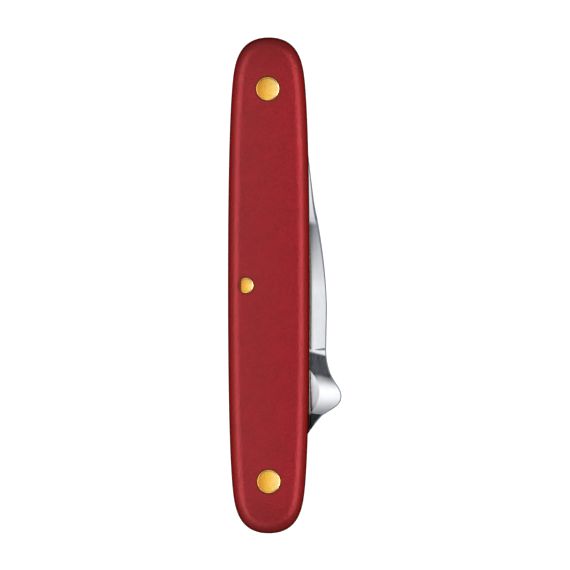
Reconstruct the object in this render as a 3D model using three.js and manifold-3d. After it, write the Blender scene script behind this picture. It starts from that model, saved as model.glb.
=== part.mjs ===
// A closed folding grafting knife with a bark lifter on the back of its blade.
//
// Millimetres. The knife lies on its rear scale: +X is the side the blade opens on, +Y is the pivot end
// and +Z is the front scale. The origin is the middle of the rear scale's flat outer face.

import * as THREE from "three";
import { mergeVertices } from "three/addons/utils/BufferGeometryUtils.js";
import Module from "manifold-3d";

// ---- Driving dimensions ----

const handleLength = 100;
const handleWidth = 16.48;
const handleThickness = 12;
const scaleEdgeRadius = 2.7; // round-over of a scale's outer edge

// Where the handle's rounded end meets its long side, in the quarter with positive x and y.
const shoulder = new THREE.Vector2(7.29, 41);
const shoulderSlope = 0.0975; // how far the outline widens for each millimetre towards the middle
// How far the outline's curves are drawn along their end tangents.
const endPull = 6.05;
const cornerPull = 4;
const sidePull = 8.1;
const middlePull = 15;

// Layers, counted outwards from the middle plane.
const seam = 0.02; // air between faces that touch on the real knife
const springHalfThickness = 1.28;
const linerThickness = 0.6;
const bladeHalfThickness = 1.1;

// Rivets.
const pivot = new THREE.Vector2(-0.2, 39.6);
const endRivet = new THREE.Vector2(0, -39.5);
const springRivet = new THREE.Vector2(-4.6, 0);
const largePin = { pinRadius: 1.25, burrRadius: 2.33, burrDepth: 1.2, rimDrop: 0.22, crownDrop: 0.03 };
const smallPin = { pinRadius: 0.9, burrRadius: 1.53, burrDepth: 0.9, rimDrop: 0.16, crownDrop: 0.03 };
const rivets = [
  { name: "pivot", place: pivot, size: largePin },
  { name: "end", place: endRivet, size: largePin },
  { name: "spring", place: springRivet, size: smallPin },
];
const pinRecess = 0.1; // how far a pin's end lies below a scale's outer face
const holeClearance = 0.02; // radial, around a pin that stands still
const burrClearance = 0.03; // radial, around a burr in its counterbore
const runningClearance = 0.05; // radial, around the bush the blade turns on
const bushRadius = 2;
const washerRadius = 4.3;

// Blade, folded shut.
const tangRadius = 5.9; // the tang's rounded end, round the pivot
const springFace = -4.7; // the spring's bearing face
const tangFlat = pivot.x - springFace - seam; // from the pivot to the flats that bear on the spring
const openStop = 35.6; // the shoulder that meets the spring's free end when the blade is open
const backTop = 6.9; // where that shoulder meets the blade's back
const openGap = 0.2; // between that shoulder and the spring's end
const springEnd = 2 * pivot.y - openStop - openGap;
const plunge = 14; // where the ground bevel starts
const plungeRise = 0.32; // how far the grind climbs on its way out to the plunge line
const plungeRun = 14.8; // over this length
const edgeHalfThickness = 0.05; // along the cutting edge
const edgeHeel = new THREE.Vector2(-2.2, plunge); // the cutting edge's end nearest the pivot
const edgeToe = new THREE.Vector2(-1.3, -26); // where the edge starts to curve up to the point
const bevelAngle = THREE.MathUtils.degToRad(3.47);
const ricassoBottom = -2.9; // the lower side of the stretch that is not ground, next to the tang
const point = new THREE.Vector2(3.9, -34.9);
const pointRound = 0.7; // how far along the edge the point is rounded

// Bark lifter on the blade's back: a hump with its own faces, thinner towards its outer edge.
const lifterStart = -12.9;
const lifterNose = new THREE.Vector2(14.68, -22.45);
const lifterEnd = new THREE.Vector2(10.75, -26.35);
const lifterLean = THREE.MathUtils.degToRad(5.7); // how its faces fall towards the outer edge
const lifterPlaneX = 10; // the heights below are at this x
const shoulderRun = 0.15; // how far the shoulder leans along the blade
const valleyEnd = -14;
const crestStart = -19.2;
const crestEnd = -23.6;
const falseEdgeStart = -31;
const valleyHalfThickness = 0.5;
const crestHalfThickness = 0.95;
const crestFade = 0.08; // how much lower the crest is where the lifter ends
const falseEdgeHalfThickness = 0.35;

// Spring: a thin arm along the handle, a boss round its rivet and a foot that fills the far end.
const armStart = 30; // where the bearing face ends and the arm begins
const armInner = -5; // the arm's inner side
const bossRadius = 2.05;
const bossSpan = 1.1; // radians the boss shows, each way from the arm's inner side
const bossTop = 2.6; // where the boss runs into the arm, from its rivet
const tailInner = -4.4; // the tail's inner side, past the boss
const tailBend = new THREE.Vector2(-4, -28); // where the tail starts to turn into the foot
const footTop = -36.2;
const footFall = 0.6; // how far the foot's top falls towards the open side

// Facets on a round surface and on a free curve.
const roundSegments = 24;
const curveSegments = 8;

const centre = new THREE.Vector2(0, 0);
const surface = handleThickness / 2; // a scale's outer face, from the middle plane
const scaleInner = springHalfThickness + seam + linerThickness + seam;
const pinHalfLength = surface - pinRecess;
const clear = 10; // how far a cutter reaches past what it cuts
const sweep = 80; // how far a grinding profile is swept
const bladeSouth = -50; // past the point

// ---- Solids: three.js makes the shapes, manifold-3d joins and cuts them ----

const wasm = await Module();
wasm.setup();

function toSolid(geometry) {
  const bare = geometry.clone();
  bare.deleteAttribute("normal");
  bare.deleteAttribute("uv");
  const merged = mergeVertices(bare, 1e-4);
  const mesh = new wasm.Mesh({
    numProp: 3,
    vertProperties: merged.attributes.position.array,
    triVerts: new Uint32Array(merged.index.array),
  });
  return new wasm.Manifold(mesh);
}

function toGeometry(solid) {
  const mesh = solid.getMesh();
  const geometry = new THREE.BufferGeometry();
  geometry.setAttribute("position", new THREE.BufferAttribute(mesh.vertProperties, 3));
  geometry.setIndex(new THREE.BufferAttribute(mesh.triVerts, 1));
  geometry.computeVertexNormals();
  return geometry;
}

// A flat shape given thickness, between two heights from the middle plane.
function plate(shape, from, to) {
  const depth = Math.abs(to - from);
  const geometry = new THREE.ExtrudeGeometry(shape, { depth, bevelEnabled: false, curveSegments });
  geometry.translate(0, 0, Math.min(from, to));
  return toSolid(geometry);
}

function cylinder(place, radius, from, to) {
  const geometry = new THREE.CylinderGeometry(radius, radius, Math.abs(to - from), roundSegments);
  geometry.rotateX(Math.PI / 2);
  geometry.translate(place.x, place.y, (from + to) / 2);
  return toSolid(geometry);
}

// A round hole through everything at a place.
function drill(place, radius) {
  return cylinder(place, radius, -handleThickness, handleThickness);
}

function ring(outerRadius, innerRadius, from, to) {
  return cylinder(centre, outerRadius, from, to).subtract(drill(centre, innerRadius));
}

// ---- Outlines, seen from the front ----

function handleOutline() {
  const end = new THREE.CubicBezierCurve(
    new THREE.Vector2(0, handleLength / 2),
    new THREE.Vector2(endPull, handleLength / 2),
    new THREE.Vector2(shoulder.x - cornerPull * shoulderSlope, shoulder.y + cornerPull),
    shoulder,
  );
  const side = new THREE.CubicBezierCurve(
    shoulder,
    new THREE.Vector2(shoulder.x + sidePull * shoulderSlope, shoulder.y - sidePull),
    new THREE.Vector2(handleWidth / 2, middlePull),
    new THREE.Vector2(handleWidth / 2, 0),
  );
  const quarter = [...end.getPoints(curveSegments), ...side.getPoints(curveSegments).slice(1)];
  const right = [...quarter, ...mirrored(quarter, 1, -1).reverse().slice(1)];
  const left = mirrored(right, -1, 1).reverse().slice(1, -1);
  return new THREE.Shape([...right, ...left]);
}

function mirrored(points, alongX, alongY) {
  return points.map((p) => new THREE.Vector2(p.x * alongX, p.y * alongY));
}

// Everything to the left of the spring's inner face and below the top of its foot. The spring is this,
// cut to the handle's outline.
function springRegion() {
  const outside = 2 * handleWidth;
  const bossSide = springRivet.x + bossRadius * Math.cos(bossSpan);
  const bossEdge = bossRadius * Math.sin(bossSpan);
  const shape = new THREE.Shape();
  shape.moveTo(-outside, springEnd);
  shape.lineTo(springFace, springEnd);
  shape.lineTo(springFace, armStart);
  shape.quadraticCurveTo(armInner, armStart - 1, armInner, armStart - 4);
  shape.lineTo(armInner, springRivet.y + bossTop + 1.4);
  shape.quadraticCurveTo(armInner, springRivet.y + bossTop, bossSide, springRivet.y + bossEdge);
  shape.absarc(springRivet.x, springRivet.y, bossRadius, bossSpan, -bossSpan, true);
  shape.quadraticCurveTo(tailInner, springRivet.y - bossTop, tailInner, springRivet.y - bossTop - 2);
  shape.lineTo(tailBend.x, tailBend.y);
  shape.bezierCurveTo(tailBend.x, -33.5, -1, footTop, point.x, footTop);
  shape.lineTo(outside, footTop - footFall);
  shape.lineTo(outside, -handleLength);
  shape.lineTo(-outside, -handleLength);
  shape.closePath();
  return shape;
}

function bladeOutline() {
  const flatTop = Math.sqrt(tangRadius ** 2 - tangFlat ** 2);
  const flatAngle = Math.atan2(flatTop, tangFlat);
  const shape = new THREE.Shape();
  shape.moveTo(pivot.x - tangFlat, pivot.y + flatTop);
  shape.absarc(pivot.x, pivot.y, tangRadius, Math.PI - flatAngle, flatAngle, true);
  shape.lineTo(pivot.x + tangFlat, openStop);
  // The back, out of the handle and down to the lifter.
  shape.lineTo(backTop, openStop);
  shape.bezierCurveTo(7.1, 34.3, 8.97, 17.5, 9.3, 16);
  shape.bezierCurveTo(10.82, 9.1, 11.74, 0.6, 11.75, -5);
  shape.lineTo(11.6, lifterStart);
  // Round the lifter.
  shape.bezierCurveTo(11.61, -14.9, 12.02, -16.95, 12.82, -18.45);
  shape.bezierCurveTo(13.98, -20.6, lifterNose.x, -20.95, lifterNose.x, lifterNose.y);
  shape.bezierCurveTo(lifterNose.x, -24.3, 12.8, -24.9, lifterEnd.x, lifterEnd.y);
  // Down to the point, round it and back along the cutting edge.
  shape.quadraticCurveTo(8.9, -28.4, 7.9, -30);
  shape.lineTo(point.x + pointRound, point.y + pointRound);
  shape.quadraticCurveTo(point.x, point.y, point.x - pointRound, point.y);
  shape.bezierCurveTo(0.5, -34.5, edgeToe.x + 0.1, -30.5, edgeToe.x, edgeToe.y);
  shape.lineTo(edgeHeel.x, edgeHeel.y);
  // Choil, ricasso and the kick that rests on the spring.
  shape.quadraticCurveTo(edgeHeel.x, plunge + 1.8, ricassoBottom, plunge + 2.1);
  shape.lineTo(ricassoBottom, 27.5);
  shape.quadraticCurveTo(ricassoBottom, 30.2, pivot.x - tangFlat, 31);
  shape.closePath();
  return shape;
}

// ---- Cutters that grind one face of the blade: face is 1 for the front and -1 for the rear ----

// A profile of y against height, swept along x and leant about the y axis. What lies beyond it is
// ground away.
function grinder(profile, face, lean, x, z) {
  const shape = new THREE.Shape(profile.map(([y, height]) => new THREE.Vector2(y, face * height)));
  const geometry = new THREE.ExtrudeGeometry(shape, { depth: sweep, bevelEnabled: false });
  geometry.translate(0, 0, -sweep / 2);
  const yToX = new THREE.Vector3(0, 1, 0);
  const heightToZ = new THREE.Vector3(0, 0, 1);
  const sweepToX = new THREE.Vector3(1, 0, 0);
  geometry.applyMatrix4(new THREE.Matrix4().makeBasis(yToX, heightToZ, sweepToX));
  geometry.rotateY(-face * lean);
  geometry.translate(x, 0, face * z);
  return toSolid(geometry);
}

// The main bevel, with the long hollow where the grind runs out to the plunge line.
function bevelGrinder(face) {
  const steps = 6;
  const profile = [[plunge, clear]];
  for (let i = 0; i <= steps; i += 1) {
    const left = 1 - i / steps;
    profile.push([plunge - plungeRun * (1 - left), plungeRise * left ** 2]);
  }
  profile.push([bladeSouth, 0], [bladeSouth, clear]);
  return grinder(profile, face, bevelAngle, edgeHeel.x, edgeHalfThickness);
}

// The lifter's face: a valley behind its shoulder, a slope up to the crest, and the false edge down to
// the point.
function lifterGrinder(face) {
  const profile = [
    [lifterStart, clear],
    [lifterStart - shoulderRun, valleyHalfThickness],
    [valleyEnd, valleyHalfThickness],
    [crestStart, crestHalfThickness],
    [crestEnd, crestHalfThickness],
    [lifterEnd.y, crestHalfThickness - crestFade],
    [falseEdgeStart, falseEdgeHalfThickness],
    [bladeSouth, falseEdgeHalfThickness],
    [bladeSouth, clear],
  ];
  return grinder(profile, face, -lifterLean, lifterPlaneX, 0);
}

// ---- Materials ----

const nylon = new THREE.MeshStandardMaterial({ color: 0x932a2d, roughness: 0.55, metalness: 0 });
const bladeSteel = new THREE.MeshStandardMaterial({ color: 0xd8dade, roughness: 0.18, metalness: 1 });
const springSteel = new THREE.MeshStandardMaterial({ color: 0xb4b7bb, roughness: 0.35, metalness: 1 });
const brass = new THREE.MeshStandardMaterial({ color: 0xe0b040, roughness: 0.25, metalness: 1 });
const bushSteel = new THREE.MeshStandardMaterial({ color: 0x9a9da1, roughness: 0.35, metalness: 1 });
const linerBrass = new THREE.MeshStandardMaterial({ color: 0xc9a24a, roughness: 0.4, metalness: 1 });
const bronze = new THREE.MeshStandardMaterial({ color: 0xa9743a, roughness: 0.4, metalness: 1 });

// ---- The pieces, modelled about the middle plane ----

// The whole handle as one rounded block, from which both scales are cut.
function handleBlock() {
  const wall = handleThickness - 2 * scaleEdgeRadius;
  const geometry = new THREE.ExtrudeGeometry(handleOutline(), {
    depth: wall,
    bevelThickness: scaleEdgeRadius,
    bevelSize: scaleEdgeRadius,
    bevelOffset: -scaleEdgeRadius,
    bevelSegments: 5,
  });
  geometry.translate(0, 0, -wall / 2);
  return toSolid(geometry);
}

// A moulded nylon scale with a stepped hole at each rivet: narrow for the pin, wide for its burr.
function scale(face) {
  let solid = handleBlock().intersect(plate(handleOutline(), face * scaleInner, face * handleThickness));
  for (const { place, size } of rivets) {
    const floor = surface - size.burrDepth - burrClearance;
    const seat = cylinder(place, size.burrRadius + burrClearance, face * floor, face * handleThickness);
    solid = solid.subtract(drill(place, size.pinRadius + holeClearance)).subtract(seat);
  }
  return solid;
}

function liner(face) {
  const near = springHalfThickness + seam;
  let solid = plate(handleOutline(), face * near, face * (near + linerThickness));
  for (const { place, size } of rivets) {
    solid = solid.subtract(drill(place, size.pinRadius + holeClearance));
  }
  return solid;
}

function backSpring() {
  return plate(handleOutline(), -springHalfThickness, springHalfThickness)
    .intersect(plate(springRegion(), -springHalfThickness, springHalfThickness))
    .subtract(drill(springRivet, smallPin.pinRadius + holeClearance))
    .subtract(drill(endRivet, largePin.pinRadius + holeClearance));
}

function blade() {
  return plate(bladeOutline(), -bladeHalfThickness, bladeHalfThickness)
    .subtract(bevelGrinder(1))
    .subtract(bevelGrinder(-1))
    .subtract(lifterGrinder(1))
    .subtract(lifterGrinder(-1))
    .subtract(drill(pivot, bushRadius + runningClearance));
}

// The steel sleeve the tang turns on.
function bush() {
  return ring(bushRadius, largePin.pinRadius + holeClearance, -springHalfThickness, springHalfThickness);
}

// A flat ring between the tang and a liner, round the bush.
function tangWasher(face) {
  const near = bladeHalfThickness + seam;
  return ring(washerRadius, bushRadius + runningClearance, face * near, face * springHalfThickness);
}

function pin(size) {
  return cylinder(centre, size.pinRadius, -pinHalfLength, pinHalfLength);
}

// A turned ring with a crowned face, sunk in the scale. The pin is hammered over inside it and polished
// flush.
function burr(size) {
  const bore = size.pinRadius + holeClearance;
  const crownHeight = size.rimDrop - size.crownDrop;
  const steps = 3;
  const profile = [
    new THREE.Vector2(bore, surface - size.burrDepth),
    new THREE.Vector2(size.burrRadius, surface - size.burrDepth),
  ];
  for (let i = 0; i <= steps; i += 1) {
    const radius = THREE.MathUtils.lerp(size.burrRadius, bore, i / steps);
    const crown = crownHeight * (1 - (radius / size.burrRadius) ** 2);
    profile.push(new THREE.Vector2(radius, surface - size.rimDrop + crown));
  }
  profile.push(profile[0].clone());
  const geometry = new THREE.LatheGeometry(profile, roundSegments);
  geometry.rotateX(Math.PI / 2);
  return toSolid(geometry);
}

// ---- The scene graph ----

function piece(name, solid, material) {
  const mesh = new THREE.Mesh(toGeometry(solid), material.clone());
  mesh.name = name;
  return mesh;
}

// A rivet at its place: a pin with a burr at each end, the rear one turned over.
function rivet(name, place, size) {
  const group = new THREE.Group();
  const rearBurr = piece(name + "_burr_rear", burr(size), brass);
  rearBurr.rotation.y = Math.PI;
  group.add(piece(name + "_pin", pin(size), brass));
  group.add(piece(name + "_burr_front", burr(size), brass));
  group.add(rearBurr);
  group.position.set(place.x, place.y, 0);
  return group;
}

const handle = new THREE.Group();
handle.add(piece("rear_scale", scale(-1), nylon));
handle.add(piece("rear_liner", liner(-1), linerBrass));
handle.add(piece("back_spring", backSpring(), springSteel));
handle.add(piece("front_liner", liner(1), linerBrass));
handle.add(piece("front_scale", scale(1), nylon));
for (const { name, place, size } of rivets) {
  handle.add(rivet(name, place, size));
}

const pivotStack = new THREE.Group();
pivotStack.add(piece("pivot_bush", bush(), bushSteel));
pivotStack.add(piece("front_tang_washer", tangWasher(1), bronze));
pivotStack.add(piece("rear_tang_washer", tangWasher(-1), bronze));
pivotStack.position.set(pivot.x, pivot.y, 0);
handle.add(pivotStack);

// The blade hangs from the pivot: turning this group about z opens the knife.
const swing = new THREE.Group();
const bladePiece = piece("blade", blade(), bladeSteel);
bladePiece.position.set(-pivot.x, -pivot.y, 0);
swing.add(bladePiece);
swing.position.set(pivot.x, pivot.y, 0);

// The middle plane lies half the handle's thickness above the rear face.
const knife = new THREE.Group();
knife.add(handle, swing);
handle.position.z += surface;
swing.position.z += surface;

export default knife;
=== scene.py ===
# The looks of a folding grafting knife, lying folded on a pale table and seen from straight above.
#
# The CAD part is the frame: metres, +X the side the blade opens on, +Y the pivot end, +Z the front scale.
# Outlines are read off the CAD nodes with level sections, so every visible piece follows the part.

import math

import bmesh
import bpy
import numpy as np
from mathutils.geometry import delaunay_2d_cdt
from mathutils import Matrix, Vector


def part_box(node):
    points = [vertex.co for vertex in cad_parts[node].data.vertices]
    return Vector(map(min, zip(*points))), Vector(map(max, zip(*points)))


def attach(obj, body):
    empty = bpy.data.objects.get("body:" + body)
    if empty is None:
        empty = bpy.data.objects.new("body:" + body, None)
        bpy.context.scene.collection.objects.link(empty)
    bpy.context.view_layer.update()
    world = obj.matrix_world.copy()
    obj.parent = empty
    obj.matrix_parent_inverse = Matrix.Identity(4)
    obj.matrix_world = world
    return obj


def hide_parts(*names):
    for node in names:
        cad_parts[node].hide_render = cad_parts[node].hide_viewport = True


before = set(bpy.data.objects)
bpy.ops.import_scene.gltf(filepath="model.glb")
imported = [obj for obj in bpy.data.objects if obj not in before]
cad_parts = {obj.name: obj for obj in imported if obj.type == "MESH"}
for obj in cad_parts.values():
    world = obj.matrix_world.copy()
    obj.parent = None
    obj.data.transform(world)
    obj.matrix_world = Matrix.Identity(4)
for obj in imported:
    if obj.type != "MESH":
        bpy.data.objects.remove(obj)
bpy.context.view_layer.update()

# ---- Sizes taken from the frame ----

front_low, front_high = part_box("front_scale")
blade_low, blade_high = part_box("blade")
handle_length = front_high.y - front_low.y
mm = handle_length / 100  # the handle is 100 mm long
top = front_high.z
middle = top / 2
stock = (blade_high.z - blade_low.z) / 2  # half the thickness of the blade's unground steel

# ---- Rivets, clearances and how fine the meshes are ----

rivets = ("pivot", "end", "spring")
seat_clearance = 0.03 * mm  # beside and below a rivet head in its scale
pin_clearance = 0.02 * mm  # round a pin
round_sides = 72
outline_step = 0.4 * mm  # the longest side of a smoothed outline
blade_outline_step = 0.14 * mm
blade_net_step = 0.22 * mm
feature_step = 0.15 * mm
net_gap = 0.09 * mm  # the net's points keep this far from the outlines
weld = 1e-5  # points of the net closer than this, in millimetres, are one
smallest_turn = math.radians(0.03)  # a point that turns an outline less than this lies on a straight run

# ---- Blade surface, in the same millimetres as the CAD part ----

plunge = 13.3 * mm  # where the ground bevel starts
plunge_run = 13.8 * mm  # how far the grind takes to run out
plunge_power = 1.75  # how sharply it curves up at the end
edge_half = 0.05 * mm  # half the thickness left at the cutting edge
edge_heel = (-2.2 * mm, plunge)  # the cutting edge's end towards the pivot
edge_toe = (-1.3 * mm, -26 * mm)  # and its end at the point
edge_slope = 0.0185  # the bevel's slope at the cutting edge
hollow = 0.0023 / mm  # it is hollow ground, so it steepens towards the back
blend = 0.08 * mm  # how softly the grind runs into the flat of the blade
lifter_lean = 0.004  # how much the lifter thins towards its outer edge
scoop_start = -19.6 * mm  # beside the lifter the bevel is scooped, more and more towards the point
scoop_rate = 0.0105 / mm  # how much its slope grows along the blade
scoop_whole = 2 * mm  # the scoop is at its full slope this close to the crease
scoop_fade = 6 * mm  # and it fades out over this much more
crease_reach = 10.2 * mm  # where the lifter's face comes furthest in over the bevel
crease_centre = -21.5 * mm
crease_bend = 0.1 / mm  # how sharply the crease bows back from there
band_end = -18.05 * mm  # the straight slope from the valley ends here
band_slope = 0.058  # how steep that slope is
band_slant = 0.24  # how much further from the pivot it ends, for each step outwards
band_drift = 0.75  # how far the crease wanders in for each step along the band
valley_slope = 0.018  # what is left of that slope on the valley's floor
valley_edge = -13.37 * mm  # at the handle's edge; it slants away from the pivot further out
valley_slant = 0.25
handle_edge = 8.2 * mm  # the handle's side
shoulder_apex = (8.9 * mm, -12.86 * mm)  # from here outwards the shoulder's wall opens into a slope
shoulder_reach = 2.5 * mm  # the length that the next two are given over
shoulder_rise = 0.25 * mm  # how far the wall's top climbs towards the pivot
shoulder_opening = 0.4 * mm  # how much wider the wall gets, seen from above
shoulder_end = 1.2  # the shoulder is followed this many reaches from its apex
sheer = 0.1 * mm  # how far an upright wall leans over its height
edge_fall = 0.8  # how steeply the broken edge falls
edge_places = [0, 8 * mm, plunge, 17 * mm, 24 * mm]  # places along the back
edge_widths = [0.24 * mm, 0.34 * mm, 0.52 * mm, 0.38 * mm, 0.2 * mm]  # how wide the broken edge is there
facet_line = -25.7 * mm  # at the handle's edge; it slants towards the point
facet_slant = 0.12
facet_slope = 0.093  # how steeply the facet falls towards the point
facet_reach = 3 * mm  # the facet fades out this far from the handle's middle
facet_level = 0.055  # how much of the bevel's slope across the blade the facet takes off
facet_turn = 3 * mm  # it takes this length to do so
thinnest = 0.04 * mm
blade_sharp_degrees = 4.5  # the ground faces meet at low angles that still have to show as lines

# =====================================================================================================
# Outlines
# =====================================================================================================


def section(node, height):
    """The closed loops, longest first, where a level plane cuts a CAD node, as arrays of x and y."""
    coincident = 1e-7  # metres
    bm = bmesh.new()
    bm.from_mesh(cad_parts[node].data)
    bmesh.ops.remove_doubles(bm, verts=bm.verts, dist=coincident)
    everything = bm.verts[:] + bm.edges[:] + bm.faces[:]
    cut = bmesh.ops.bisect_plane(bm, geom=everything, plane_co=(0, 0, height), plane_no=(0, 0, 1))
    neighbours = {}
    for item in cut["geom_cut"]:
        if isinstance(item, bmesh.types.BMEdge):
            a, b = item.verts
            neighbours.setdefault(a, []).append(b)
            neighbours.setdefault(b, []).append(a)
    loops = []
    while neighbours:
        here = next(iter(neighbours))
        loop = []
        while here is not None:
            loop.append((here.co.x, here.co.y))
            following = [v for v in neighbours.pop(here) if v in neighbours]
            here = following[0] if following else None
        loops.append(without_straight_points(np.array(loop)))
    bm.free()
    loops.sort(key=lambda loop: -abs(signed_area(loop)))
    return [turned(loop, 1 if i == 0 else -1) for i, loop in enumerate(loops)]


def signed_area(loop):
    """The area a loop encloses, negative when it runs clockwise."""
    x, y = loop.T
    return float(np.sum(x * np.roll(y, -1) - np.roll(x, -1) * y)) / 2


def turned(loop, sense):
    """The loop running anticlockwise for sense 1 and clockwise for -1, so that material is on its left."""
    return loop if signed_area(loop) * sense > 0 else loop[::-1]


def turning(loop):
    """The angle the loop turns through at each point."""
    leaving = np.roll(loop, -1, 0) - loop
    arriving = np.roll(leaving, 1, 0)
    cross = arriving[:, 0] * leaving[:, 1] - arriving[:, 1] * leaving[:, 0]
    return np.abs(np.arctan2(cross, np.sum(arriving * leaving, 1)))


def without_straight_points(loop):
    return loop[turning(loop) > smallest_turn]


def smooth_loop(loop, spacing):
    """The loop with its faceted curves rounded off again. Corners and straight runs stay as they are."""
    corner = math.radians(24)
    straight = 2.5  # a side this many times longer than the next one is a straight run
    leaving = np.roll(loop, -1, 0) - loop
    length = np.linalg.norm(leaving, axis=1)
    leaving = leaving / length[:, None]
    arriving = np.roll(leaving, 1, 0)
    length_before = np.roll(length, 1)
    tangent = arriving * length[:, None] + leaving * length_before[:, None]
    tangent = np.where((length > straight * length_before)[:, None], leaving, tangent)
    tangent = np.where((length_before > straight * length)[:, None], arriving, tangent)
    tangent = tangent / np.linalg.norm(tangent, axis=1)[:, None]
    is_corner = (turning(loop) > corner)[:, None]
    start_tangent = np.where(is_corner, leaving, tangent)
    end_tangent = np.where(is_corner, arriving, tangent)
    points = []
    for i, start in enumerate(loop):
        j = (i + 1) % len(loop)
        steps = max(1, math.ceil(length[i] / spacing))
        t = (np.arange(steps) / steps)[:, None]
        points.append(
            (2 * t**3 - 3 * t**2 + 1) * start
            + (t**3 - 2 * t**2 + t) * start_tangent[i] * length[i]
            + (3 * t**2 - 2 * t**3) * loop[j]
            + (t**3 - t**2) * end_tangent[j] * length[i]
        )
    return np.vstack(points)


def inward(loop):
    """Unit normals towards the material, which is on the loop's left."""
    along = np.roll(loop, -1, 0) - np.roll(loop, 1, 0)
    along = along / np.linalg.norm(along, axis=1)[:, None]
    return np.column_stack((-along[:, 1], along[:, 0]))


def circle(centre, radius):
    """A clockwise circle: the edge of a hole."""
    angle = -2 * math.pi * np.arange(round_sides) / round_sides
    return np.column_stack((centre[0] + radius * np.cos(angle), centre[1] + radius * np.sin(angle)))


def inside(points, loop):
    """Which points are inside a loop."""
    found = np.zeros(len(points), bool)
    x, y = points.T
    for (ax, ay), (bx, by) in zip(loop, np.roll(loop, -1, 0)):
        if ay != by:
            crosses = (ay > y) != (by > y)
            found ^= crosses & (x < (bx - ax) * (y - ay) / (by - ay) + ax)
    return found


def distance_to(points, loop):
    """How far each point is from a loop."""
    nearest = np.full(len(points), np.inf)
    for a, b in zip(loop, np.roll(loop, -1, 0)):
        side = b - a
        share = np.clip((points - a) @ side / (side @ side), 0, 1)
        nearest = np.minimum(nearest, np.linalg.norm(points - a - share[:, None] * side, axis=1))
    return nearest


# =====================================================================================================
# Meshes
# =====================================================================================================


def wall(bm, loop, profile):
    """A wall along a loop, with one ring of vertices for each (inset, height) of its profile."""
    normals = inward(loop)
    rings = []
    for inset, height in profile:
        rings.append([bm.verts.new((x, y, height)) for x, y in loop + normals * inset])
    for lower, upper in zip(rings, rings[1:]):
        for i in range(len(loop)):
            j = (i + 1) % len(loop)
            bm.faces.new((lower[i], lower[j], upper[j], upper[i]))
    return rings[0], rings[-1]


def cap(bm, *rings):
    """A flat face between rings of vertices."""
    edges = []
    for ring in rings:
        for i, vertex in enumerate(ring):
            following = ring[(i + 1) % len(ring)]
            edges.append(bm.edges.get((vertex, following)) or bm.edges.new((vertex, following)))
    bmesh.ops.triangle_fill(bm, use_beauty=True, edges=edges)


def finished(bm, name, sharp_degrees=30):
    """The bmesh as a smooth-shaded object with its sharp edges kept."""
    bmesh.ops.recalc_face_normals(bm, faces=bm.faces)
    mesh = bpy.data.meshes.new(name)
    bm.to_mesh(mesh)
    bm.free()
    return placed(mesh, name, sharp_degrees)


def placed(mesh, name, sharp_degrees):
    """The mesh as an object in the scene, smooth-shaded but for its sharp edges."""
    mesh.shade_smooth()
    mesh.set_sharp_from_angle(angle=math.radians(sharp_degrees))
    piece = bpy.data.objects.new(name, mesh)
    bpy.context.scene.collection.objects.link(piece)
    return piece


def stand_in(piece, node, body, material):
    """The piece is shown in place of a CAD node."""
    piece.data.materials.append(material)
    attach(piece, body)
    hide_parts(node)


def upside_down(bm):
    """Turns a front piece into its rear twin."""
    for vertex in bm.verts:
        vertex.co.z = top - vertex.co.z


def round_over(radius, low, high, steps):
    """A profile from a height up a straight wall and over a quarter round."""
    profile = [(0, low)]
    for i in range(steps + 1):
        angle = math.pi / 2 * i / steps
        profile.append((radius * (1 - math.cos(angle)), high - radius * (1 - math.sin(angle))))
    return profile


def scale_edge_radius():
    """The radius of a scale's outer edge: how far in from its side the flat face starts."""
    flatness = 0.01 * mm
    corners = [vertex.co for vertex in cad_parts["front_scale"].data.vertices]
    return front_high.x - max(corner.x for corner in corners if corner.z > front_high.z - flatness)


def scale_piece(face, material):
    """A moulded scale: rounded edge, flat face, and a stepped hole with a soft lip at each rivet."""
    side = "front" if face > 0 else "rear"
    low, high = front_low.z, front_high.z
    edge_break = 0.3 * mm
    break_steps = 5
    round_steps = 14
    lip = 0.12 * mm
    straight_wall = low + 0.5 * mm  # a height at which the outline is whole
    outline = smooth_loop(section("front_scale", straight_wall)[0], outline_step)
    bm = bmesh.new()
    broken = round_over(edge_break, high - edge_break, high, break_steps)
    inner_profile = [(inset, high + low - height) for inset, height in broken]
    outer_profile = round_over(scale_edge_radius(), low + edge_break, high, round_steps)
    inner_ring, outer_ring = wall(bm, outline, inner_profile[:0:-1] + outer_profile)
    face_rings = [outer_ring]
    inner_rings = [inner_ring]
    for rivet in rivets:
        burr_low, burr_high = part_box(rivet + "_burr_front")
        pin_low, pin_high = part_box(rivet + "_pin")
        centre = ((burr_low.x + burr_high.x) / 2, (burr_low.y + burr_high.y) / 2)
        seat = circle(centre, (burr_high.x - burr_low.x) / 2 + seat_clearance)
        hole = circle(centre, (pin_high.x - pin_low.x) / 2 + pin_clearance)
        floor = burr_low.z - seat_clearance
        seat_bottom, seat_top = wall(bm, seat, [(0, floor), (0, high - lip), (lip, high)])
        hole_bottom, hole_top = wall(bm, hole, [(0, low), (0, floor)])
        cap(bm, seat_bottom, hole_top)
        face_rings.append(seat_top)
        inner_rings.append(hole_bottom)
    cap(bm, *face_rings)
    cap(bm, *inner_rings)
    if face < 0:
        upside_down(bm)
    piece = finished(bm, side + "_scale_shell")
    stand_in(piece, side + "_scale", "handle", material)


def plate_piece(node, edge, material):
    """A flat plate cut to a CAD node's outline and holes, its edges broken by a small chamfer."""
    low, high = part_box(node)
    bm = bmesh.new()
    lower_rings = []
    upper_rings = []
    for loop in section(node, (low.z + high.z) / 2):
        profile = [(edge, low.z), (0, low.z + edge), (0, high.z - edge), (edge, high.z)]
        lower, upper = wall(bm, smooth_loop(loop, outline_step), profile)
        lower_rings.append(lower)
        upper_rings.append(upper)
    cap(bm, *lower_rings)
    cap(bm, *upper_rings)
    stand_in(finished(bm, node + "_plate"), node, "handle", material)


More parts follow.
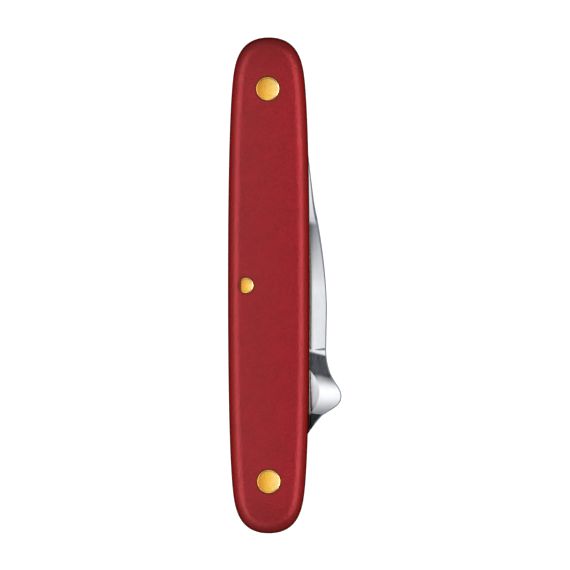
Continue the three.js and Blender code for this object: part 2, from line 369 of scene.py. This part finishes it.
def burr_piece(rivet, face, material):
    """A rivet head: a turned disc with a soft rim and a crown, closed over the end of its pin."""
    side = "front" if face > 0 else "rear"
    low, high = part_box(rivet + "_burr_front")
    pin_low, pin_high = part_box(rivet + "_pin")
    centre = (low + high) / 2
    radius = (high.x - low.x) / 2
    bore = (pin_high.x - pin_low.x) / 2 + pin_clearance
    roof = pin_high.z + 0.004 * mm  # just clear of the pin's end
    rim = 0.18 * mm
    rim_steps = 6
    crown = 0.02 * mm
    crown_steps = 12
    sharp_degrees = 40
    shoulder = high.z - crown
    profile = [(0, roof), (bore, roof), (bore, low.z), (radius, low.z), (radius, shoulder - rim)]
    for i in range(1, rim_steps):
        angle = math.pi / 2 * i / rim_steps
        profile.append((radius - rim * (1 - math.cos(angle)), shoulder - rim * (1 - math.sin(angle))))
    for i in range(crown_steps + 1):
        r = (radius - rim) * (1 - i / crown_steps)
        profile.append((r, shoulder + crown * (1 - (r / (radius - rim)) ** 2)))
    bm = bmesh.new()
    rings = []
    for r, z in profile:
        if r == 0:
            rings.append([bm.verts.new((centre.x, centre.y, z))] * round_sides)
        else:
            rings.append([bm.verts.new((x, y, z)) for x, y in circle(centre, r)])
    for lower, upper in zip(rings, rings[1:]):
        for i in range(round_sides):
            j = (i + 1) % round_sides
            corners = dict.fromkeys((lower[i], lower[j], upper[j], upper[i]))
            bm.faces.new(list(corners))
    if face < 0:
        upside_down(bm)
    node = f"{rivet}_burr_{side}"
    stand_in(finished(bm, node + "_head", sharp_degrees), node, "handle", material)


# =====================================================================================================
# Blade
# =====================================================================================================


def bevel_height(x, y):
    """Half the blade's thickness on the main bevel, which curves up into the flat at the plunge."""
    heel_x, heel_y = edge_heel
    toe_x, toe_y = edge_toe
    edge_x = heel_x + (toe_x - heel_x) * (heel_y - y) / (heel_y - toe_y)
    run = np.minimum((plunge - y) / plunge_run, 1)
    ground = np.maximum(x - edge_x, 0)
    flat = edge_half + edge_slope * ground + hollow * ground**2
    return flat + (stock - flat) * (1 - run) ** plunge_power


def crease(y):
    """The x of the line where the lifter's face meets the main bevel."""
    bowed = crease_reach - crease_bend * (np.minimum(y, band_end) - crease_centre) ** 2
    return bowed - band_drift * np.maximum(y - band_end, 0)


def lifter_height(x, y):
    """Half the thickness on the lifter: a ruled face from the crease outwards, then a dip to the valley."""
    valley = valley_edge - valley_slant * (x - handle_edge)
    beyond_centre = np.clip((y - crease_centre) / (band_end - crease_centre), 0, 1)
    shift = band_slant * np.maximum(x - crease_reach, 0) * beyond_centre
    bowed_y = np.minimum(y + shift, band_end)
    crease_x = crease(bowed_y)
    bowed = bevel_height(crease_x, bowed_y) - lifter_lean * (x - crease_x)
    dip = band_slope * np.maximum(np.minimum(y, valley) + shift - band_end, 0)
    return bowed - dip - valley_slope * np.maximum(y - valley, 0)


def scoop(x, y):
    """How much the bevel is scooped out beside the lifter."""
    inwards = np.maximum(crease(y) - x, 0)
    recovery = np.clip((inwards - scoop_whole) / scoop_fade, 0, 1)
    return scoop_rate * np.maximum(scoop_start - y, 0) * inwards * (1 - recovery**2 * (3 - 2 * recovery))


def half_thickness(x, y):
    """Half the blade's thickness at the points x, y: flat, bevel, shoulder, lifter and facet in turn."""
    facet_y = facet_line - facet_slant * (x - handle_edge)
    past_facet = np.maximum(facet_y - y, 0)
    y = np.maximum(y, facet_y)
    bevel = bevel_height(x, y) - scoop(x, y)
    overlap = np.maximum(blend - np.abs(bevel - stock), 0)
    ground = np.minimum(bevel, stock) - overlap**2 / (4 * blend)
    # The shoulder between bevel and lifter is a near-upright wall that leans more towards the back.
    apex_x, apex_y = shoulder_apex
    open_share = np.clip((x - apex_x) / shoulder_reach, 0, shoulder_end)
    wall_top = apex_y + shoulder_rise * open_share
    wall_height = sheer + shoulder_opening * open_share
    down = np.clip((wall_top - y) / wall_height, 0, 1)
    ground = ground + (np.minimum(lifter_height(x, y), ground) - ground) * down
    reach = np.clip((x - facet_reach) / (handle_edge - facet_reach), 0, 1)
    levelling = facet_level * (x - handle_edge) * np.minimum(past_facet / facet_turn, 1)
    return np.maximum(ground - (facet_slope * past_facet + levelling) * reach, thinnest)


def edge_width(y):
    """How wide the broken edge along the outline is."""
    return np.interp(y, edge_places, edge_widths)


def feature_lines():
    """Lines on the blade's face that the net follows: the shoulder's top and foot, facet and crease."""
    apex_x, apex_y = shoulder_apex
    hidden = handle_edge - 2 * mm  # the shoulder runs on inside the handle, out of sight
    end_x = apex_x + shoulder_end * shoulder_reach
    end_top = apex_y + shoulder_end * shoulder_rise
    end_foot = end_top - sheer - shoulder_end * shoulder_opening
    facet_run = blade_high.x - handle_edge
    y = np.arange(facet_line, valley_edge, feature_step)
    lines = [
        [(hidden, apex_y), (apex_x, apex_y), (end_x, end_top)],
        [(hidden, apex_y - sheer), (apex_x, apex_y - sheer), (end_x, end_foot)],
        [(handle_edge, facet_line), (blade_high.x, facet_line - facet_slant * facet_run)],
        list(zip(crease(y), y)),
    ]
    return [np.array(line) for line in lines]


def blade_net(outline, hole):
    """A fine triangle net over the blade's outline, as points and anticlockwise triangles."""
    inset = outline + inward(outline) * edge_width(outline[:, 1])[:, None]
    columns = np.arange(blade_low.x, blade_high.x, blade_net_step)
    rows = np.arange(blade_low.y, blade_high.y, blade_net_step)
    grid = np.array([(x + blade_net_step / 2 * (j % 2), y) for j, y in enumerate(rows) for x in columns])
    clear = inside(grid, outline) & ~inside(grid, hole)
    for loop in (outline, hole, inset):
        clear &= distance_to(grid, loop) > net_gap

    # The net follows the outlines and the feature lines, and the grid fills what is between them.
    points = [outline, inset, hole]
    edges = []
    first = 0
    for loop in points:
        edges += [(first + i, first + (i + 1) % len(loop)) for i in range(len(loop))]
        first += len(loop)
    for line in feature_lines():
        points.append(line)
        edges += [(first + i, first + i + 1) for i in range(len(line) - 1)]
        first += len(line)
    points.append(grid[clear])
    net = delaunay_2d_cdt([tuple(p) for p in np.vstack(points) / mm], edges, [], 0, weld)
    xy = np.array([(v.x, v.y) for v in net[0]]) * mm
    triangles = np.array([t for t in net[2] if len(t) == 3])
    centres = xy[triangles].mean(axis=1)
    triangles = triangles[inside(centres, outline) & ~inside(centres, hole)]

    used = np.unique(triangles)
    renumber = np.zeros(len(xy), int)
    renumber[used] = np.arange(len(used))
    triangles = renumber[triangles]
    xy = xy[used]
    a, b, c = (xy[triangles[:, k]] for k in range(3))
    clockwise = (b[:, 0] - a[:, 0]) * (c[:, 1] - a[:, 1]) < (b[:, 1] - a[:, 1]) * (c[:, 0] - a[:, 0])
    triangles[clockwise] = triangles[clockwise][:, ::-1]
    return xy, triangles


def blade_piece(material):
    """The blade: one net raised to both ground faces, with a thin wall joining them along the outline."""
    outline, hole = [smooth_loop(loop, blade_outline_step) for loop in section("blade", middle)]
    xy, triangles = blade_net(outline, hole)
    height = half_thickness(xy[:, 0], xy[:, 1])
    rim = distance_to(xy, outline)
    width = np.minimum(edge_width(xy[:, 1]), height)
    height = height - edge_fall * np.maximum(width - rim, 0)

    count = len(xy)
    upper = np.column_stack((xy, middle + height))
    lower = np.column_stack((xy, middle - height))
    sides = [(t[k], t[(k + 1) % 3]) for t in triangles.tolist() for k in range(3)]
    paired = set(sides)
    faces = triangles.tolist()
    faces += [[c + count, b + count, a + count] for a, b, c in triangles.tolist()]
    faces += [(s + count, e + count, e, s) for s, e in sides if (e, s) not in paired]
    mesh = bpy.data.meshes.new("blade_ground")
    mesh.from_pydata(np.vstack((upper, lower)).tolist(), [], faces)
    mesh.validate()
    piece = placed(mesh, "blade_ground", blade_sharp_degrees)
    stand_in(piece, "blade", "blade", material)


# =====================================================================================================
# Materials
# =====================================================================================================


class Graph:
    """A short way to write a node tree."""

    def __init__(self, tree):
        self.tree = tree
        tree.nodes.clear()

    def add(self, kind, inputs=None, **settings):
        node = self.tree.nodes.new(kind)
        for key, value in settings.items():
            setattr(node, key, value)
        for key, value in (inputs or {}).items():
            if isinstance(value, bpy.types.NodeSocket):
                self.tree.links.new(value, node.inputs[key])
            else:
                node.inputs[key].default_value = value
        return node

    def place(self):
        """Object coordinates: a piece's own place at rest, in metres."""
        return self.add("ShaderNodeTexCoord").outputs["Object"]

    def axis(self, vector, name):
        return self.add("ShaderNodeSeparateXYZ", {0: vector}).outputs[name]

    def level(self):
        """One where the surface is level and nothing where it is upright."""
        normal = self.add("ShaderNodeTexCoord").outputs["Normal"]
        return self.maths("ABSOLUTE", self.axis(normal, "Z"))

    def vary(self, noise, low, high):
        """The noise's usual range spread over low to high."""
        return self.span(noise, 0.3, 0.7, low, high)

    def lines_roughness(self, lines, roughness):
        """The roughness, a little lower and higher along fine lines."""
        return self.vary(lines, roughness * 0.85, roughness * 1.2)

    def noise(self, vector, size, detail=3, stretch=None):
        """Noise whose lumps are about size across. Stretch squeezes it along each axis."""
        if stretch:
            vector = self.add("ShaderNodeMapping", {"Vector": vector, "Scale": stretch}).outputs[0]
        inputs = {"Vector": vector, "Scale": 1 / size, "Detail": detail}
        return self.add("ShaderNodeTexNoise", inputs).outputs["Fac"]

    def span(self, value, low, high, to_low, to_high, smooth=False):
        """The value remapped from one span to another and clamped."""
        inputs = {"Value": value, "From Min": low, "From Max": high, "To Min": to_low, "To Max": to_high}
        kind = "SMOOTHSTEP" if smooth else "LINEAR"
        return self.add("ShaderNodeMapRange", inputs, interpolation_type=kind).outputs["Result"]

    def mix(self, share, a, b):
        node = self.add("ShaderNodeMix", data_type="RGBA")
        for socket, value in ((node.inputs["Factor"], share), (node.inputs[6], a), (node.inputs[7], b)):
            if isinstance(value, bpy.types.NodeSocket):
                self.tree.links.new(value, socket)
            else:
                socket.default_value = value
        return node.outputs[2]

    def maths(self, operation, *values):
        node = self.add("ShaderNodeMath", operation=operation)
        for socket, value in zip(node.inputs, values):
            if isinstance(value, bpy.types.NodeSocket):
                self.tree.links.new(value, socket)
            else:
                socket.default_value = value
        return node.outputs[0]

    def bump(self, height, depth, normal=None):
        inputs = {"Height": height, "Strength": 1.0, "Distance": depth}
        if normal:
            inputs["Normal"] = normal
        return self.add("ShaderNodeBump", inputs).outputs["Normal"]


def new_material(name):
    """A material and the graph to fill its node tree with."""
    material = bpy.data.materials.new(name)
    material.use_nodes = True
    return material, Graph(material.node_tree)


def finish_surface(g, inputs):
    """Ends a graph in one principled shader."""
    shader = g.add("ShaderNodeBsdfPrincipled", inputs)
    g.add("ShaderNodeOutputMaterial", {"Surface": shader.outputs[0]})


def rgb(red, green, blue):
    return (red, green, blue, 1.0)


def nylon():
    """Moulded red nylon: fine grain and cloudy colour, with a painted sheen, painted light on the rounded
    edge, and painted shade at the ends, down the walls and round the rivets.
    """
    material, g = new_material("scale_nylon")
    place = g.place()
    grain = g.noise(place, 0.45 * mm, 3)
    cloud = g.noise(place, 4 * mm, 4)
    wear = g.noise(place, 1.1 * mm, 5)

    pale_grain = rgb(0.178, 0.011, 0.015)
    painted_end_shade = rgb(0.03, 0.002, 0.002)
    painted_edge_light = rgb(0.18, 0.006, 0.005)
    painted_edge_end_shade = rgb(0.04, 0.006, 0.005)
    painted_wall_shade = rgb(0.034, 0.003, 0.002)
    painted_rivet_shade = rgb(0.07, 0.01, 0.002)

    # The cloudy red is a little greyer towards -X and purer towards +X: painted light, a sheen that fades
    # across the face.
    cloudy = g.span(cloud, 0.35, 0.65, 0, 1)
    painted_sheen_red = g.mix(cloudy, rgb(0.11, 0.0085, 0.0105), rgb(0.134, 0.0085, 0.011))
    unsheened_red = g.mix(cloudy, rgb(0.117, 0.0025, 0.0045), rgb(0.143, 0.0025, 0.0055))
    rightwards = g.span(g.axis(place, "X"), -5 * mm, 6 * mm, 0, 1)
    colour = g.mix(rightwards, painted_sheen_red, unsheened_red)
    colour = g.mix(g.vary(grain, 0, 0.5), colour, pale_grain)

    # Painted shade darkens the ends. The rounded edge takes a painted tone for the light on it, redder and
    # without sheen and painted dark at the ends, and painted shade darkens its upright wall down to the
    # liner.
    lengthwise = g.maths("ABSOLUTE", g.axis(place, "Y"))
    ends = g.span(lengthwise, 0.42 * handle_length, 0.5 * handle_length, 0, 0.55)
    colour = g.mix(ends, colour, painted_end_shade)
    level = g.level()
    rounded = g.span(level, 0.6, 0.86, 1, 0)
    upright_wall = g.span(level, 0.2, 0.6, 1, 0, smooth=True)
    colour = g.mix(rounded, colour, g.mix(ends, painted_edge_light, painted_edge_end_shade))
    colour = g.mix(upright_wall, colour, painted_wall_shade)

    # Painted shade, browned by a painted reflection of the brass, rings each rivet head.
    for rivet in rivets:
        low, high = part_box(rivet + "_burr_front")
        centre = (low + high) / 2
        radius = (high.x - low.x) / 2
        flattened = g.add("ShaderNodeVectorMath", {0: place, 1: (1, 1, 0)}, operation="MULTIPLY").outputs[0]
        apart = {0: flattened, 1: (centre.x, centre.y, 0)}
        reach = g.add("ShaderNodeVectorMath", apart, operation="DISTANCE").outputs["Value"]
        rivet_shade = g.span(reach, radius + 0.15 * mm, radius + 0.55 * mm, 0.9, 0, smooth=True)
        colour = g.mix(rivet_shade, colour, painted_rivet_shade)

    # The rounded edge keeps no gloss.
    roughness = g.vary(wear, 0.34, 0.42)
    finish_surface(g, {
        "Base Color": colour,
        "Roughness": g.maths("ADD", roughness, g.maths("MULTIPLY", rounded, 0.2)),
        "Specular IOR Level": g.maths("SUBTRACT", 1.0, rounded),
        "Specular Tint": rgb(1.0, 0.14, 0.15),
        "Normal": g.bump(grain, 0.1 * mm, g.bump(wear, 0.02 * mm)),
    })
    return material


def brass(name, shaded_and_tarnished, middling, bright, roughness, rim_highlight=0.0):
    """Brass with polishing marks and duller patches, painted lighter towards +X, and a painted highlight on
    its rim.
    """
    material, g = new_material(name)
    place = g.place()
    tarnish = g.noise(place, 0.9 * mm, 4)
    marks = g.noise(place, 0.12 * mm, 2, (1, 8, 1))
    across = g.axis(g.add("ShaderNodeTexCoord").outputs["Generated"], "X")  # from 0 to 1 over the piece
    # Painted light: darker towards -X and brighter towards +X over each piece. Tarnish patches then take
    # the darkest colour.
    shaded_half = g.mix(g.span(across, 0.1, 0.5, 0, 1), shaded_and_tarnished, middling)
    painted_light_and_tarnish = g.mix(g.span(across, 0.5, 0.95, 0, 1), shaded_half, bright)
    painted_light_and_tarnish = g.mix(g.span(tarnish, 0.5, 0.8, 0, 0.4), painted_light_and_tarnish, shaded_and_tarnished)
    # A painted highlight: the rim turns a pale, less metallic colour that stays bright under any light.
    rim = g.span(g.level(), 0.75, 0.99, rim_highlight, 0)
    painted_rim_highlight = rgb(1.0, 0.6, 0.28)
    finish_surface(g, {
        "Base Color": g.mix(rim, painted_light_and_tarnish, painted_rim_highlight),
        "Metallic": g.maths("SUBTRACT", 1.0, rim),
        "Roughness": g.lines_roughness(marks, roughness),
        "Normal": g.bump(marks, 0.0008 * mm),
    })
    return material


def steel(name, colour, shade, roughness, stretch, depth):
    """Ground steel: fine lines along one axis, with slow changes of tone across them."""
    material, g = new_material(name)
    place = g.place()
    lines = g.noise(place, 0.12 * mm, 3, stretch)
    tone = g.noise(place, 5 * mm, 3)
    finish_surface(g, {
        "Base Color": g.mix(g.vary(tone, 0, 1), colour, shade),
        "Metallic": 1.0,
        "Roughness": g.lines_roughness(lines, roughness),
        "Normal": g.bump(lines, depth),
    })
    return material


def blade_finish():
    """Polished steel, with painted shade where the folded blade is inside the handle or close beside it."""
    material, g = new_material("blade_steel")
    place = g.place()
    lines = g.noise(place, 0.12 * mm, 3, (1, 0.05, 1))
    tone = g.noise(place, 5 * mm, 3)
    polished = rgb(0.7, 0.71, 0.73)
    clouded = rgb(0.64, 0.65, 0.68)
    painted_shade_grey = rgb(0.45, 0.455, 0.475)
    nearly_black = rgb(0.05, 0.04, 0.04)
    colour = g.mix(g.vary(tone, 0, 1), polished, clouded)
    axes = g.add("ShaderNodeSeparateXYZ", {0: place}).outputs

    # Painted shade darkens the bevel in and beside the handle, and the unground steel past the plunge.
    covered = g.span(axes["X"], handle_edge + 0.2 * mm, handle_edge + 1 * mm, 1, 0, smooth=True)
    on_bevel = g.span(axes["Y"], plunge - 2 * mm, plunge, 1, 0, smooth=True)
    past_plunge = g.span(axes["Y"], plunge - 0.3 * mm, plunge + 0.2 * mm, 0, 1)
    fading = g.span(axes["Y"], plunge + 0.5 * mm, plunge + 4 * mm, 1, 0.5)
    unground = g.maths("MULTIPLY", past_plunge, fading)
    shaded_mask = g.maths("MAXIMUM", g.maths("MULTIPLY", covered, on_bevel), unground)
    colour = g.mix(shaded_mask, colour, painted_shade_grey)

    # Painted shade makes the facet nearly black in the handle and against its side.
    on_facet = g.span(axes["Y"], facet_line - 0.5 * mm, facet_line, 1, 0)
    against_handle = g.span(axes["X"], handle_edge + 0.1 * mm, handle_edge + 0.5 * mm, 1, 0, smooth=True)
    colour = g.mix(g.maths("MULTIPLY", on_facet, against_handle), colour, nearly_black)
    finish_surface(g, {
        "Base Color": colour,
        "Metallic": 1.0,
        "Roughness": g.lines_roughness(lines, 0.1),
        "Normal": g.bump(lines, 0.0002 * mm),
    })
    return material


def dress(node, material):
    """A carried-over CAD node gets its material and softly broken edges."""
    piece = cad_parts[node]
    piece.data.materials.clear()
    piece.data.materials.append(material)
    bevel = piece.modifiers.new("edges", "BEVEL")
    bevel.width = 0.03 * mm
    bevel.segments = 2
    bevel.limit_method = "ANGLE"
    bevel.angle_limit = math.radians(40)


# =====================================================================================================
# Table, light and camera
# =====================================================================================================


def table():
    """A pale table that glows like a light box, so that shadows on it stay faint."""
    half = 3.0  # metres, far past the edges of the view
    height = -0.00002  # a hair below the knife, so that the two faces don't fight
    mesh = bpy.data.meshes.new("table")
    corners = [(-half, -half), (half, -half), (half, half), (-half, half)]
    mesh.from_pydata([(x, y, height) for x, y in corners], [], [(0, 1, 2, 3)])
    piece = bpy.data.objects.new("table", mesh)
    bpy.context.scene.collection.objects.link(piece)
    material, g = new_material("table")
    seen = g.add("ShaderNodeLightPath").outputs["Is Camera Ray"]
    glow = g.add("ShaderNodeEmission", {"Color": rgb(1, 1, 1), "Strength": seen})
    matte = g.add("ShaderNodeBsdfDiffuse", {"Color": rgb(0.2, 0.2, 0.2)})
    both = g.add("ShaderNodeAddShader", {0: glow.outputs[0], 1: matte.outputs[0]})
    g.add("ShaderNodeOutputMaterial", {"Surface": both.outputs[0]})
    mesh.materials.append(material)


def studio():
    """Soft boxes painted on the sky: one overhead, one on each side and one past each end of the knife.

    Every angle is in degrees from straight up: across towards +X, along towards +Y.
    """
    world = bpy.data.worlds.new("studio")
    world.use_nodes = True
    bpy.context.scene.world = world
    g = Graph(world.node_tree)
    direction = g.add("ShaderNodeTexCoord").outputs["Generated"]
    up = g.maths("MAXIMUM", g.axis(direction, "Z"), 0.001)
    across = g.maths("DIVIDE", g.axis(direction, "X"), up)  # the tangent of the angle
    along = g.maths("DIVIDE", g.axis(direction, "Y"), up)

    def tan(degrees):
        return math.tan(math.radians(degrees))

    def rise(value, low, high):
        return g.span(value, tan(low), tan(high), 0, 1, smooth=True)

    def fall(value, low, high):
        return g.span(value, tan(low), tan(high), 1, 0, smooth=True)

    def band(value, low, high, soft):
        """One between two angles and nothing outside them, with soft edges."""
        return g.maths("MULTIPLY", rise(value, low - soft, low), fall(value, high, high + soft))

    def panel(across_mask, along_mask, strength):
        return g.maths("MULTIPLY", g.maths("MULTIPLY", across_mask, along_mask), strength)

    # The overhead panel's near edge slants on the left, and the panel is brighter on the right.
    slant = 0.15
    skewed = g.maths("ADD", along, g.maths("MULTIPLY", g.maths("MINIMUM", across, 0.0), slant))
    overhead_along = g.maths("MULTIPLY", rise(skewed, -10, -1), fall(along, 0.5, 6.2))
    overhead_across = g.maths("MULTIPLY", rise(across, -19, -7), fall(across, 16, 22))
    overhead = panel(overhead_across, overhead_along, g.span(across, tan(-8), tan(1), 1.3, 1.55))
    beside = band(along, -24, 24, 10)
    left = panel(band(across, -62, -30, 6), beside, 5.2)
    right = panel(band(across, 30, 62, 6), beside, 6.8)
    near_end = panel(band(across, -52, 6, 10), band(along, -58, -26, 8), 2.2)
    far_end = panel(band(across, -40, 20, 12), band(along, 30, 60, 8), 1.2)

    outward = g.add("ShaderNodeCombineXYZ", {"X": across, "Y": along}).outputs[0]
    lean = g.add("ShaderNodeVectorMath", {0: outward}, operation="LENGTH").outputs["Value"]
    low_fill = g.span(lean, tan(62), tan(75), 0, 0.36)
    light = 0.015  # a faint glow from everywhere
    for part in (overhead, left, right, near_end, far_end, low_fill):
        light = g.maths("ADD", light, part)

    # The dark parts of the sky are bluish, and the camera itself sees plain white.
    seen = g.add("ShaderNodeLightPath").outputs["Is Camera Ray"]
    strength = g.add("ShaderNodeMix", {"Factor": seen, 2: light, 3: 1.0}, data_type="FLOAT").outputs[0]
    whiteness = g.maths("MAXIMUM", seen, g.span(light, 0.05, 0.6, 0, 1))
    colour = g.mix(whiteness, rgb(0.75, 0.88, 1.1), rgb(1, 1, 1))
    sky = g.add("ShaderNodeBackground", {"Color": colour, "Strength": strength})
    g.add("ShaderNodeOutputWorld", {"Surface": sky.outputs[0]})


def camera():
    """Straight above the knife, far enough away to flatten it. The handle stands left of the middle."""
    distance = 2.6  # metres
    frame_width = 1.1476 * handle_length
    aim_x = 0.03275 * handle_length
    aim_y = 0.0008 * handle_length
    data = bpy.data.cameras.new("camera")
    data.sensor_width = 36
    data.lens = data.sensor_width * (distance - top) / frame_width
    data.clip_end = 10
    eye = bpy.data.objects.new("camera", data)
    eye.location = (aim_x, aim_y, distance)
    bpy.context.scene.collection.objects.link(eye)
    bpy.context.scene.camera = eye
    bpy.context.scene.view_settings.view_transform = "Standard"


# =====================================================================================================
# Build
# =====================================================================================================

red_nylon = nylon()
rivet_brass = brass(
    "rivet_brass",
    shaded_and_tarnished=rgb(0.68, 0.29, 0.03),
    middling=rgb(0.95, 0.53, 0.075),
    bright=rgb(1.0, 0.74, 0.3),
    roughness=0.2,
    rim_highlight=0.6,
)
liner_brass = brass(
    "liner_brass",
    shaded_and_tarnished=rgb(0.34, 0.28, 0.22),
    middling=rgb(0.4, 0.33, 0.26),
    bright=rgb(0.48, 0.4, 0.31),
    roughness=0.55,
)
washer_bronze = brass(
    "washer_bronze",
    shaded_and_tarnished=rgb(0.3, 0.15, 0.06),
    middling=rgb(0.4, 0.2, 0.08),
    bright=rgb(0.48, 0.24, 0.09),
    roughness=0.35,
)
blade_steel = blade_finish()
spring_steel = steel(
    "spring_steel",
    colour=rgb(0.5, 0.51, 0.52),
    shade=rgb(0.4, 0.41, 0.42),
    roughness=0.28,
    stretch=(1, 0.1, 1),
    depth=0.002 * mm,
)
bush_steel = steel(
    "bush_steel",
    colour=rgb(0.4, 0.41, 0.42),
    shade=rgb(0.3, 0.31, 0.32),
    roughness=0.3,
    stretch=(1, 1, 0.1),
    depth=0.002 * mm,
)

for face in (1, -1):
    scale_piece(face, red_nylon)
    for rivet in rivets:
        burr_piece(rivet, face, rivet_brass)
plate_piece("front_liner", 0.05 * mm, liner_brass)
plate_piece("rear_liner", 0.05 * mm, liner_brass)
plate_piece("back_spring", 0.1 * mm, spring_steel)
blade_piece(blade_steel)
for rivet in rivets:
    dress(rivet + "_pin", rivet_brass)
dress("front_tang_washer", washer_bronze)
dress("rear_tang_washer", washer_bronze)
dress("pivot_bush", bush_steel)

table()
studio()
camera()
